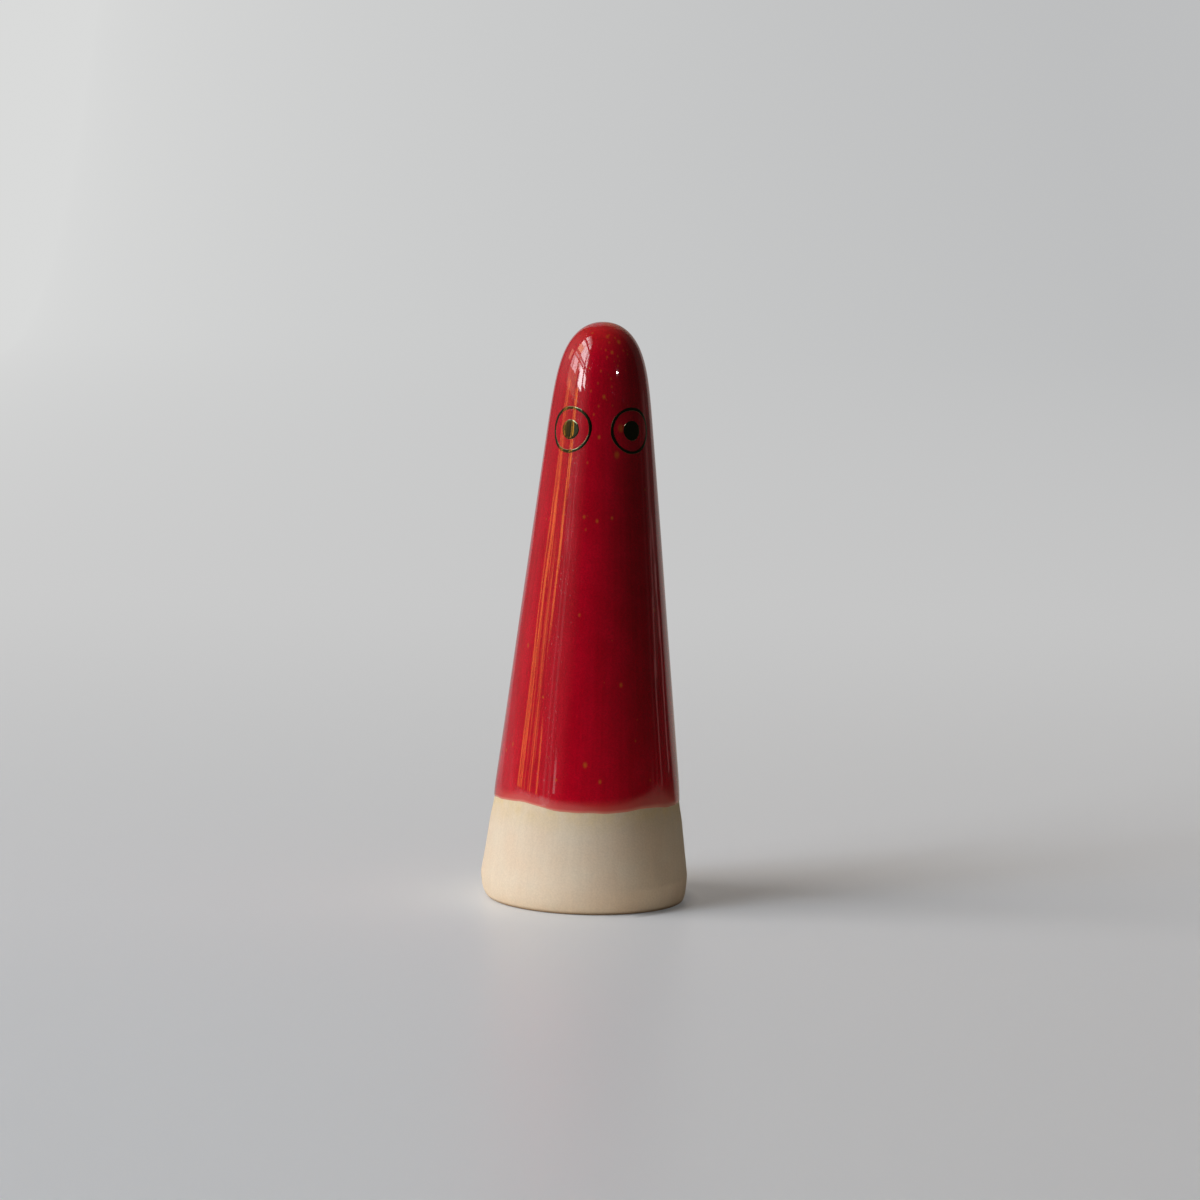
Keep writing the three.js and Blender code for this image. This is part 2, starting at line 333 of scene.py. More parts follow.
def woven_faces(rows, columns, poles):
    """Faces of a grid whose columns close on themselves, all facing one way.

    Point (i, j) is number i * columns + j, and the quad there joins it to the next row and, modulo the
    columns, to the next column. Without poles the rows close on themselves too. With them, the two
    points after the last of the grid each take a fan of triangles on the first and the last row.
    """
    last = rows - 1 if poles else rows
    i, j = np.meshgrid(np.arange(last), np.arange(columns), indexing="ij")
    here = i * columns + j
    beside = i * columns + (j + 1) % columns
    below = (i + 1) % rows * columns + j
    below_beside = (i + 1) % rows * columns + (j + 1) % columns
    faces = np.stack([here, below, below_beside, beside], axis=-1).reshape(-1, 4).tolist()
    if poles:
        first_pole = rows * columns
        last_row = (rows - 1) * columns
        j = np.arange(columns)
        after = (j + 1) % columns
        tip, end = np.full(columns, first_pole), np.full(columns, first_pole + 1)
        faces += np.stack([tip, j, after], axis=-1).tolist()
        faces += np.stack([last_row + j, end, last_row + after], axis=-1).tolist()
    return faces


def surface(name, points, poles=None, **attributes):
    """A smooth mesh object from a grid of points, with poles as the pair of its first and last point.

    Each attribute is a grid of numbers or of vectors as large as the points, and a pole takes the mean
    of the row beside it.
    """
    rows, columns = points.shape[:2]
    vertices = points.reshape(-1, 3)
    if poles is not None:
        vertices = np.concatenate([vertices, np.asarray(poles)])
    mesh = bpy.data.meshes.new(name)
    mesh.from_pydata(vertices.tolist(), [], woven_faces(rows, columns, poles is not None))
    mesh.polygons.foreach_set("use_smooth", np.ones(len(mesh.polygons), dtype=bool))
    for key, values in attributes.items():
        values = np.broadcast_to(values, (rows, columns) + values.shape[2:])
        flat = values.reshape(rows * columns, -1)
        if poles is not None:
            flat = np.concatenate([flat] + [[values[row].mean(axis=0).ravel()] for row in (0, -1)])
        kind, field = ("FLOAT_VECTOR", "vector") if flat.shape[1] == 3 else ("FLOAT", "value")
        layer = mesh.attributes.new(key, kind, "POINT")
        layer.data.foreach_set(field, flat.astype(np.float32).ravel())
    mesh.validate()
    mesh.update()
    piece = bpy.data.objects.new(name, mesh)
    bpy.context.scene.collection.objects.link(piece)
    return piece


def dress(piece, material, node):
    """Gives a piece its material and has it ride on the body in place of the frame's node."""
    piece.data.materials.append(material)
    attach(piece, BODY)
    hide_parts(node)


class Nodes:
    """A node tree, with a short method for each kind of pattern that the finishes are made from.

    A value that a method takes may be a number, a colour or the socket of another node.
    """

    def __init__(self, tree):
        self.nodes = tree.nodes
        self.links = tree.links

    def plug(self, socket, value):
        """Sets a socket to a plain value, or links it to another node's output."""
        if isinstance(value, bpy.types.NodeSocket):
            self.links.new(value, socket)
        else:
            socket.default_value = value

    def add(self, kind, inputs, output=0, **settings):
        """Adds a node with its settings and its inputs, and returns one of its outputs."""
        made = self.nodes.new(kind)
        for key, value in settings.items():
            setattr(made, key, value)
        for key, value in inputs.items():
            self.plug(made.inputs[key], value)
        return made.outputs[output]

    def part(self, vector, axis):
        """One of a vector's three numbers."""
        return self.add("ShaderNodeSeparateXYZ", {"Vector": vector}, axis)

    def stretched(self, vector, lengths):
        """A vector whose pattern is drawn out by a length along each axis."""
        shares = [1.0 / drawn for drawn in lengths]
        return self.add("ShaderNodeVectorMath", {0: vector, 1: shares}, operation="MULTIPLY")

    def noise(self, vector, size, detail=3.0, roughness=0.5):
        """Soft noise from about 0.3 to 0.7 whose blotches are about as wide as the size."""
        inputs = {"Vector": vector, "Scale": 1.0 / size, "Detail": detail, "Roughness": roughness}
        return self.add("ShaderNodeTexNoise", inputs)

    def between(self, value, low, high, start=0.0, end=1.0, kind="LINEAR"):
        """A value from low to high turned into one from start to end, and held there beyond them."""
        inputs = {"Value": value, "From Min": low, "From Max": high, "To Min": start, "To Max": end}
        return self.add("ShaderNodeMapRange", inputs, interpolation_type=kind, clamp=True)

    def fade(self, value, *limits):
        """The same with a soft start and a soft end."""
        return self.between(value, *limits, kind="SMOOTHSTEP")

    def maths(self, operation, first, *others):
        """Arithmetic, carried on from one value to the next."""
        for other in others:
            first = self.add("ShaderNodeMath", {0: first, 1: other}, operation=operation)
        return first

    def times(self, *values):
        """The product of the values."""
        return self.maths("MULTIPLY", *values)

    def most(self, *values):
        """The largest of the values."""
        return self.maths("MAXIMUM", *values)

    def either(self, test, value, otherwise):
        """One value where a test is 1 and another where it is 0."""
        return self.add("ShaderNodeMix", {0: test, 2: otherwise, 3: value}, data_type="FLOAT")

    def blend(self, share, first, second, mode="MIX"):
        """A share of the second colour in the first."""
        inputs = {0: share, 6: opaque(first), 7: opaque(second)}
        return self.add("ShaderNodeMix", inputs, 2, data_type="RGBA", blend_type=mode, clamp_factor=True)

    def dimmed(self, tone, value):
        """A colour times a value."""
        grey = self.add("ShaderNodeCombineColor", {0: value, 1: value, 2: value})
        return self.blend(1.0, tone, grey, "MULTIPLY")

    def specks(self, vector, spacing, largest, share):
        """Round spots at scattered points, a spacing apart on average: 1 inside a spot and 0 outside.

        A spot is made only where the point's own random number lies under the share, and its size is
        between half the largest radius and the whole.
        """
        node = self.nodes.new("ShaderNodeTexVoronoi")
        self.plug(node.inputs["Vector"], vector)
        self.plug(node.inputs["Scale"], 1.0 / spacing)
        random = node.outputs["Color"]
        made = self.maths("LESS_THAN", self.part(random, "X"), share)
        radius = self.between(self.part(random, "Y"), 0.0, 1.0, largest / spacing / 2.0, largest / spacing)
        return self.times(self.fade(node.outputs["Distance"], 0.0, radius, 1.0, 0.0), made)

    def spot(self, vector, centre, radius):
        """A spot at one place, a little higher than wide: 1 in its middle, falling to 0 at its radius."""
        across = self.add("ShaderNodeVectorMath", {0: vector, 1: centre}, operation="SUBTRACT")
        drawn = self.stretched(across, DRAWN_SPECK)
        return self.fade(self.far_off(drawn), 0.0, radius, 1.0, 0.0)

    def far_off(self, vector):
        """A vector's length."""
        return self.add("ShaderNodeVectorMath", {0: vector}, "Value", operation="LENGTH")


class Finish(Nodes):
    """The nodes of a material, with the shader that they end in."""

    def __init__(self, name):
        self.material = bpy.data.materials.new(name)
        self.material.use_nodes = True
        super().__init__(self.material.node_tree)
        self.shader = self.nodes["Principled BSDF"]

    def paint(self, **inputs):
        """Sets or links the shader's own sockets, named with _ for each space."""
        for key, value in inputs.items():
            self.plug(self.shader.inputs[key.replace("_", " ")], value)

    def place(self):
        """The point's place on the object, in metres."""
        return self.add("ShaderNodeTexCoord", {}, "Object")

    def carried(self, name, output="Fac"):
        """A value that the mesh carries at its points."""
        return self.add("ShaderNodeAttribute", {}, output, attribute_name=name)

    def relief(self, height, depth):
        """Bump from a height between 0 and 1 that stands for a depth in metres."""
        return self.add("ShaderNodeBump", {"Height": height, "Distance": depth, "Strength": 1.0})


def opaque(value):
    """A colour with its alpha, or a socket as it is."""
    return value if isinstance(value, bpy.types.NodeSocket) else (*value, 1.0)


# Where limits are followed by two more numbers, those are what a value is turned into at either limit.
# Noise lies mostly within the first limits and nearly all within the second
MOST_NOISE = (0.35, 0.65)
ALL_NOISE = (0.3, 0.7)

# The clay's patches, stains, grain and wiping streaks, and how far the streaks are drawn out upwards
CLAY_PATCH = 7 * MM
CLAY_STAIN = 3 * MM
CLAY_GRAIN = 0.35 * MM
CLAY_STREAK = 0.9 * MM
CLAY_DRAWN = (1.0, 1.0, 14.0)
# Its pits: how far apart they lie, their largest radius, and the share of places that has one
CLAY_PITS = (1.5 * MM, 0.14 * MM, 0.35)
PIT_DARKNESS = 0.45
# The stain reaches this far below the coat's edge, and is patchy between these shares
STAIN_REACH = 5.5 * MM
STAIN_SHARES = (0.25, 0.9)
# A painted contact shade darkens the foot from the floor up to the second height
FOOT_CONTACT_SHADE = (0.05 * MM, 0.85 * MM, 0.95, 0.0)
# The streaks' part in the clay's texture, and how far that shades the clay
STREAK_SHARE = 0.4
CLAY_SHADING = (0.5, 0.9, 0.95, 1.05)
CLAY_ROUGHNESS = (0.78, 0.92)
CLAY_SHEEN = 0.35
CLAY_RELIEF = 0.03 * MM


def clay_finish(scene):
    """Dry cream clay: soft patches, fine grain, wiping streaks along the flank and small dark pits, warmer
    under the coat's edge, and with a painted contact shade that darkens the foot's lower edge."""
    tone = scene.ghost_finish
    finish = Finish("raw clay")
    place = finish.place()
    flank = finish.carried("flank", "Vector")
    grain = finish.noise(place, CLAY_GRAIN, detail=2.0)
    streaks = finish.noise(finish.stretched(flank, CLAY_DRAWN), CLAY_STREAK)
    texture = finish.maths("ADD", grain, finish.times(streaks, STREAK_SHARE))
    pits = finish.specks(place, *CLAY_PITS)

    patches = finish.between(finish.noise(place, CLAY_PATCH), *MOST_NOISE)
    base = finish.blend(patches, tone.clay, tone.clay_shade)
    uneven = finish.between(finish.noise(place, CLAY_STAIN), *MOST_NOISE, *STAIN_SHARES)
    stain = finish.times(finish.fade(finish.carried("rise"), -STAIN_REACH, 0.0), uneven)
    base = finish.blend(stain, base, tone.clay_stain)
    # Painted contact shade: the foot grows darker towards the floor
    base = finish.blend(finish.fade(finish.part(place, "Z"), *FOOT_CONTACT_SHADE), base, tone.clay_pits_and_foot_shade)
    base = finish.dimmed(base, finish.between(texture, *CLAY_SHADING))
    finish.paint(
        Base_Color=finish.blend(finish.times(pits, PIT_DARKNESS), base, tone.clay_pits_and_foot_shade),
        Roughness=finish.between(grain, *ALL_NOISE, *CLAY_ROUGHNESS),
        Specular_IOR_Level=CLAY_SHEEN,
        Normal=finish.relief(finish.maths("SUBTRACT", texture, pits), CLAY_RELIEF),
    )
    return finish.material


# The coat's clouds, runs and mottle, and how far the runs are drawn out upwards
COAT_CLOUD = 5 * MM
COAT_RUN = 1.1 * MM
RUN_DRAWN = (1.0, 1.0, 30.0)
COAT_MOTTLE = 0.36 * MM
MOTTLE_ROUGHNESS = 0.7
# The three together deepen the red between these sums, and the mottle alone shades it
COAT_DEPTH = (1.25, 1.75)
MOTTLE_SHADING = (0.80, 1.20)
# Scattered specks: how far apart, their largest radius and their strength. The share of places that has
# one grows from the shoulder to the tip
SCATTERED_SPECKS = ((2.4 * MM, 0.60 * MM, 0.7), (1.3 * MM, 0.30 * MM, 0.5))
SPECK_CROWDING = (0.05, 1.0)
SMALL_STRENGTH = 0.6
SPECK_STRENGTH = 0.68
# The coat is a little more orange over the crown
CROWN_HEIGHT = 6.5 * MM
CROWN_STRENGTH = 0.08
# Shares of the thinning between which the thin coat shows, and then the blush of its edge
THIN_COAT = (0.25, 0.9)
COAT_EDGE = (0.82, 1.0)
# The gloss is broken by fibres drawn out upwards, by some of the mottle and by deep fine pits
COAT_FIBRE = 0.35 * MM
FIBRE_DRAWN = (1.0, 1.0, 60.0)
MOTTLE_LIFT = 0.5
COAT_PITS = (0.40 * MM, 0.13 * MM, 0.55)
PIT_DEPTH = 5.0
COAT_ROUGHNESS = (0.02, 0.055)
COAT_IOR = 1.6
COAT_RELIEF = 0.003 * MM


def glaze_finish(scene, form):
    """Deep glossy red: slow clouds, runs along the flank and orange specks that crowd towards the tip,
    paler over the crown and where the coat thins over its lip."""
    tone = scene.ghost_finish
    finish = Finish("red glaze")
    place = finish.place()
    height = finish.part(place, "Z")
    flank = finish.carried("flank", "Vector")
    mottle = finish.noise(place, COAT_MOTTLE, detail=2.0, roughness=MOTTLE_ROUGHNESS)
    runs = finish.noise(finish.stretched(flank, RUN_DRAWN), COAT_RUN)
    depth = finish.maths("ADD", finish.noise(place, COAT_CLOUD), runs, mottle)
    base = finish.blend(finish.between(depth, *COAT_DEPTH), tone.glaze, tone.glaze_shade)
    base = finish.dimmed(base, finish.between(mottle, *MOST_NOISE, *MOTTLE_SHADING))

    specks = coat_specks(finish, form, place, height)
    base = finish.blend(finish.times(specks, SPECK_STRENGTH), base, tone.speck)
    tip = form.shape.height
    crown = finish.fade(height, tip - CROWN_HEIGHT, tip, 0.0, CROWN_STRENGTH)
    base = finish.blend(crown, base, tone.speck)
    thinning = finish.carried("thinning")
    base = finish.blend(finish.fade(thinning, *THIN_COAT), base, tone.glaze_thin)
    base = finish.blend(finish.fade(thinning, *COAT_EDGE), base, tone.glaze_edge)

    fibres = finish.noise(finish.stretched(flank, FIBRE_DRAWN), COAT_FIBRE, detail=2.0)
    pits = finish.times(finish.specks(place, *COAT_PITS), PIT_DEPTH)
    lifted = finish.maths("ADD", fibres, finish.times(mottle, MOTTLE_LIFT))
    finish.paint(
        Base_Color=base,
        Roughness=finish.between(mottle, *ALL_NOISE, *COAT_ROUGHNESS),
        IOR=COAT_IOR,
        Normal=finish.relief(finish.maths("SUBTRACT", lifted, pits), COAT_RELIEF),
    )
    return finish.material


def coat_specks(finish, form, place, height):
    """All the coat's specks in one mask: the scattered ones, the large ones and the small ones."""
    crowding = finish.between(height, form.shoulder_height, form.shape.height, *SPECK_CROWDING)
    drawn = finish.stretched(place, DRAWN_SPECK)
    specks = [
        finish.times(finish.specks(drawn, spacing, largest, crowding), strength)
        for spacing, largest, strength in SCATTERED_SPECKS
    ]
    for degrees, high, wide in LARGE_SPECKS:
        specks.append(finish.spot(place, speck_centre(form, degrees, high), wide * MM * SPECK_SPREAD))
    for degrees, high in SMALL_SPECKS:
        spot = finish.spot(place, speck_centre(form, degrees, high), SMALL_SPECK * MM * SPECK_SPREAD)
        specks.append(finish.times(spot, SMALL_STRENGTH))
    return finish.most(*specks)


def speck_centre(form, degrees, high):
    """The place on the coat of a speck at an azimuth in degrees and a height in millimetres."""
    z = np.array(high * MM)
    return form.place(form.outline(z), z, math.radians(degrees)).tolist()


# The lustre's flecks and its brush marks, how far those are drawn out upwards, and how golden both make it
LUSTRE_FLECK = 0.25 * MM
FLECK_ROUGHNESS = 0.65
BRUSH_MARK = 0.3 * MM
BRUSH_DRAWN = (1.0, 1.0, 4.0)
GOLD_SHARES = (0.95, 1.25, 0.0, 0.7)
LUSTRE_ROUGHNESS = (0.03, 0.08)
LUSTRE_RELIEF = 0.0005 * MM


def lustre_finish(scene):
    """Near-black bronze lustre, thinner and more golden in fine flecks and brush marks."""
    tone = scene.ghost_finish
    finish = Finish("dark lustre")
    place = finish.place()
    flecks = finish.noise(place, LUSTRE_FLECK, roughness=FLECK_ROUGHNESS)
    brushed = finish.noise(finish.stretched(place, BRUSH_DRAWN), BRUSH_MARK)
    gold = finish.between(finish.maths("ADD", flecks, brushed), *GOLD_SHARES)
    finish.paint(
        Base_Color=finish.blend(gold, tone.lustre, tone.lustre_gold),
        Metallic=1.0,
        Roughness=finish.between(flecks, *ALL_NOISE, *LUSTRE_ROUGHNESS),
        Normal=finish.relief(flecks, LUSTRE_RELIEF),
    )
    return finish.material


# Rows of points along each stretch of the clay body, from its tip down to the foot and up inside
CLAY_ROWS = {
    "dome": 30, "flank": 20, "above_line": 12, "below_line": 26, "bare": 34, "rounding": 22,
    "flat": 8, "rim": 10, "hollow": 150, "hollow_dome": 24,
}
# and of the coat, from its tip down to the edge and up its inner face
COAT_ROWS = {"dome": 84, "flank": 96, "lip": 40, "inner_flank": 30, "inner_dome": 26}
# The grit on the ring that the ghost stands on: waves all round, and radians for each metre of radius
GRIT_WAVES = 11
GRIT_TWIST = 4.0 / MM


def make_clay_body(scene):
    """The fired clay, from the tip down its covered flank and its bare foot, across the flat ring, round
    the mouth and up the hollow to the hollow's own tip."""
    form = Form(scene)
    shape, glaze, azimuth, rows = form.shape, form.glaze, form.azimuths, CLAY_ROWS
    swell_start = glaze.line_height - glaze.swell_height
    wave_top = glaze.line_height + glaze.wave_reach

    down = np.concatenate([
        form.dome_heights(glaze.thickness, rows["dome"])[1:-1],
        rows_between(form.shoulder_height, wave_top, rows["flank"]),
        rows_between(wave_top, glaze.line_height, rows["above_line"]),
        rows_between(glaze.line_height, swell_start, rows["below_line"]),
        rows_between(swell_start, shape.foot_round_height, rows["bare"]),
        shape.foot_round_height * (1.0 - np.sin(rows_between(0.0, math.pi / 2, rows["rounding"]))),
    ])
    depth = glaze.thickness * smooth_step(down, swell_start, glaze.line_height)
    high = form.waved(down)
    bare = smooth_step(glaze.line_height - down, 0.0, glaze.swell_height)
    worn = smooth_step(down, 0.0, shape.foot_round_height)
    hand = ripple(HAND_WAVES, azimuth, high)
    outside = form.outline(high, depth) + hand * bare * worn + form.fuller_foot(high)

    flat_outer = shape.foot_radius - shape.foot_round_depth + form.fuller_foot(0.0)
    flat_inner = shape.foot_radius - shape.foot_round_depth - shape.foot_flat
    flat = rows_between(flat_outer, flat_inner, rows["flat"])
    gritty = (1.0 + np.sin(GRIT_WAVES * azimuth + GRIT_TWIST * flat)) / 2.0
    grit = shape.foot_grit * gritty * (flat < flat_outer)
    turn = rows_between(0.0, math.pi / 2, rows["rim"])
    rim = flat_inner - (flat_inner - form.cavity(np.array(shape.rim_round))) * np.sin(turn)
    rim_high = shape.rim_round * (1.0 - np.cos(turn))

    hollow = np.concatenate([
        rows_between(shape.rim_round, form.shoulder_height, rows["hollow"]),
        form.dome_heights(form.cavity_depth, rows["hollow_dome"])[::-1][:-1],
    ])
    rings = shape.ring_height * np.sin(math.tau * hollow / shape.ring_pitch + azimuth)
    whole = smooth_step(hollow, shape.rim_round, shape.ring_start) * form.dome(hollow, form.cavity_depth)
    inside = form.cavity(hollow) + rings * whole

    parts = [(outside, high), (flat, grit), (rim, rim_high), (inside, hollow)]
    points = np.concatenate([form.place(radius, z, azimuth) for radius, z in parts])
    heights = np.concatenate([np.broadcast_to(z, (len(radius), shape.columns)) for radius, z in parts])
    rise = np.full_like(heights, -glaze.line_height)
    rise[: len(down)] += down
    poles = [form.place(0.0, shape.height - low, 0.0) for low in (glaze.thickness, form.cavity_depth)]
    piece = surface("clay_body_fired", points, poles, rise=rise, flank=form.unrolled(heights))
    dress(piece, clay_finish(scene), "clay_body")


def make_red_glaze(scene):
    """The coat, from its tip down the outside, over the lip to the edge, and back up its inner face to
    the inner tip. Near the edge its depth follows a quarter ellipse as high as the lip."""
    form = Form(scene)
    shape, glaze, rows = form.shape, form.glaze, COAT_ROWS
    lip = form.lip()
    sunk = glaze.thickness + glaze.bite
    turn = rows_between(math.pi / 2, 0.0, rows["lip"])
    rolled = glaze.line_height + lip * (1.0 - np.cos(turn))
    none = np.zeros((1, 1))
    outer = (
        (form.dome_heights(0.0, rows["dome"])[1:-1], none, none),
        (rows_between(form.shoulder_height, glaze.line_height + lip, rows["flank"]), none, none),
        (rolled, glaze.thickness * (1.0 - np.sin(turn)), np.cos(turn)),
    )
    radii, heights, thinning = [], [], []
    for z, depth, thin in outer:
        high = form.waved(z)
        swell = ripple(COAT_WAVES, form.azimuths, high) * form.dome(z, 0.0) * (1.0 - thin**2)
        radii.append(form.outline(high, depth) + swell)
        heights.append(high)
        thinning.append(np.broadcast_to(thin, high.shape))
    inner = form.waved(np.concatenate([
        rows_between(glaze.line_height, form.shoulder_height, rows["inner_flank"]),
        form.dome_heights(sunk, rows["inner_dome"])[::-1][:-1],
    ]))
    radii.append(form.outline(inner, sunk))
    heights.append(inner)
    thinning.append(np.ones_like(inner))

    radii, heights, thinning = map(np.concatenate, (radii, heights, thinning))
    poles = [form.place(0.0, shape.height - depth, 0.0) for depth in (0.0, sunk)]
    points = form.place(radii, heights, form.azimuths)
    piece = surface("red_glaze_coat", points, poles, thinning=thinning, flank=form.unrolled(heights))
    dress(piece, glaze_finish(scene, form), "red_glaze")


# Waves of a hand-drawn round and of its line's width: how many go round, how strong each is, and by how
# many times the eye's own phase it is turned
ROUND_WAVES = ((2, 1.0, 1.0), (3, 0.6, 2.1), (5, 0.3, -1.0))
WIDTH_WAVES = ((3, 1.0, 1.7), (7, 1.0, 1.0))
# Each eye's side, where it lies from the middle of the face, and the phase of its ring and of its dot
EYES = (("left", -1.0, 0.4, 1.4), ("right", 1.0, 2.3, 3.3))


def stray(waves, turn, phase):
    """How far a hand-drawn line strays along its turn, from -1 to 1: its sine waves over their strengths."""
    strayed = sum(strong * np.sin(many * turn + times * phase) for many, strong, times in waves)
    return strayed / sum(strong for _, strong, _ in waves)


def drawn_outline(turn, radius, unevenness, phase):
    """Radius of a hand-drawn round all along its turn."""
    return radius * (1.0 + unevenness * stray(ROUND_WAVES, turn, phase))


def on_coat(form, eyes, azimuth, across, up, lift):
    """Points of a mark that is laid on the coat at an azimuth: across is measured round the body, up
    along it from the eyes' height, and lift out from the coat."""
    z = form.shape.height - eyes.drop + up
    radius = form.outline(z)
    turned = azimuth + across / radius
    swell = ripple(COAT_WAVES, turned, z) * form.dome(z, 0.0)
    return form.place(radius + swell + lift, z, turned)


def make_eye_ring(form, eyes, name, azimuth, phase, material):
    """An eye's line: a closed path carried round by a flattened oval section that has sunk into the coat."""
    turn = np.linspace(0.0, math.tau, eyes.ring_columns, endpoint=False)[None, :]
    section = np.linspace(0.0, math.tau, eyes.ring_rows, endpoint=False)[:, None]
    middle = (eyes.ring_diameter - eyes.ring_line) / 2.0
    half_line = eyes.ring_line / 2.0 * (1.0 + eyes.line_unevenness * stray(WIDTH_WAVES, turn, phase))
    half_high = (eyes.relief + eyes.bite) / 2.0
    reach = drawn_outline(turn, middle, eyes.unevenness, phase) + half_line * np.cos(section)
    crown = np.sign(np.sin(section)) * np.sqrt(np.abs(np.sin(section)))
    lift = half_high * (1.0 + crown) - eyes.bite
    points = on_coat(form, eyes, azimuth, reach * np.cos(turn), reach * np.sin(turn), lift)
    piece = surface(name + "_lustre", points)
    dress(piece, material, name)


def make_pupil(form, eyes, name, azimuth, phase, material):
    """An eye's dot: a disc that is flat on top and falls off round its edge as a power of its radius."""
    turn = np.linspace(0.0, math.tau, eyes.pupil_columns, endpoint=False)[None, :]
    share = np.sin(np.linspace(0.0, math.pi / 2, eyes.pupil_rows))[1:, None]
    crown = (eyes.relief + eyes.bite) * np.sqrt(1.0 - share**eyes.pupil_edge) - eyes.bite
    under = np.full_like(share, -eyes.bite)
    shares = np.concatenate([share, share[-2::-1]])
    lift = np.concatenate([crown, under[-2::-1]])
    reach = shares * drawn_outline(turn, eyes.pupil_diameter / 2.0, eyes.unevenness, phase)
    points = on_coat(form, eyes, azimuth, reach * np.cos(turn), reach * np.sin(turn), lift)
    middle = np.zeros(2)
    poles = on_coat(form, eyes, azimuth, middle, middle, np.array([eyes.relief, -eyes.bite]))
    piece = surface(name + "_lustre", points, poles)
    dress(piece, material, name)


def make_eyes(scene):
    """Both eyes, each a ring and a dot, drawn a little differently."""
    form = Form(scene)
    eyes = scene.ghost_eyes
    material = lustre_finish(scene)
    for side, turned, ring_phase, pupil_phase in EYES:
        make_eye_ring(form, eyes, side + "_eye_ring", turned * eyes.azimuth, ring_phase, material)
        make_pupil(form, eyes, side + "_pupil", turned * eyes.azimuth, pupil_phase, material)


def towards(azimuth, elevation):
    """The unit vector that points at an azimuth and an elevation."""
    level = math.cos(elevation)
    return Vector((math.sin(azimuth) * level, -math.cos(azimuth) * level, math.sin(elevation)))


def make_camera(scene):
    """The camera, from its target, its distance and its three angles."""
    studio = scene.ghost_studio
    back = towards(studio.camera_azimuth, studio.camera_elevation)
    right = Vector((math.cos(studio.camera_azimuth), math.sin(studio.camera_azimuth), 0.0))
    up = back.cross(right)
    target = right * studio.target_side + Vector((0.0, 0.0, studio.target_height))
    turned = Matrix((right, up, back)).transposed() @ Matrix.Rotation(studio.camera_roll, 3, "Z")
    camera = bpy.data.objects.new("camera", bpy.data.cameras.new("camera"))
    camera.data.lens = studio.lens
    camera.data.clip_start = 10 * MM
    camera.matrix_world = Matrix.Translation(target + back * studio.camera_distance) @ turned.to_4x4()
    scene.collection.objects.link(camera)
    scene.camera = camera


def make_panel(scene, name, centre, facing, size, radiance, tint, turn=0.0):
    """A rectangle of even light that looks along a direction, with its height upright or turned from that.

    A panel's power is its radiance times pi times its area.
    """
    light = bpy.data.lights.new(name, "AREA")
    light.shape = "RECTANGLE"
    light.size, light.size_y = size
    light.energy = radiance * math.pi * math.prod(size)
    light.color = tint
    panel = bpy.data.objects.new(name, light)
    turned = facing.to_track_quat("-Z", "Y").to_matrix() @ Matrix.Rotation(turn, 3, "Z")
    panel.matrix_world = Matrix.Translation(centre) @ turned.to_4x4()
    panel.visible_camera = False
    scene.collection.objects.link(panel)
    return panel


# The window's panes in shares of its distance: from where to where along Y, the bottom and the top, and
# the share of the window's light
PANES = (
    (-1.04, -0.81, 0.37, 0.52, 1.50),
    (-0.72, -0.47, 0.29, 0.52, 1.75),
    (-0.47, -0.26, 0.43, 0.52, 0.90),
    (-0.22, 0.04, 0.34, 0.52, 0.80),
    (0.07, 0.20, 0.34, 0.52, 0.45),
    (-1.02, -0.81, 0.56, 0.60, 0.90),
    (-0.72, -0.24, 0.56, 0.60, 0.90),
    (-0.20, 0.20, 0.56, 0.60, 0.45),
    (-1.01, -0.81, 0.65, 1.14, 0.85),
    (-0.71, -0.24, 0.65, 1.14, 1.08),
    (-0.20, 0.20, 0.92, 1.14, 1.00),
    (-0.88, -0.50, 1.32, 1.52, 0.80),
    (-0.46, -0.16, 1.32, 1.52, 0.75),
    (-0.12, 0.20, 1.32, 1.52, 0.90),
    (-0.86, 0.20, 1.55, 1.72, 0.50),
    (-0.70, 0.15, 1.77, 2.00, 0.22),
)
# The panes that something warm stands behind, in the same way
WARM_PANES = (
    (-0.20, 0.20, 0.68, 0.90, 0.72),
    (-0.24, -0.16, 0.70, 1.12, 0.50),
    (-0.36, 0.22, 0.20, 0.66, 0.15),
    (0.35, 0.60, 0.38, 0.55, 0.26),
)
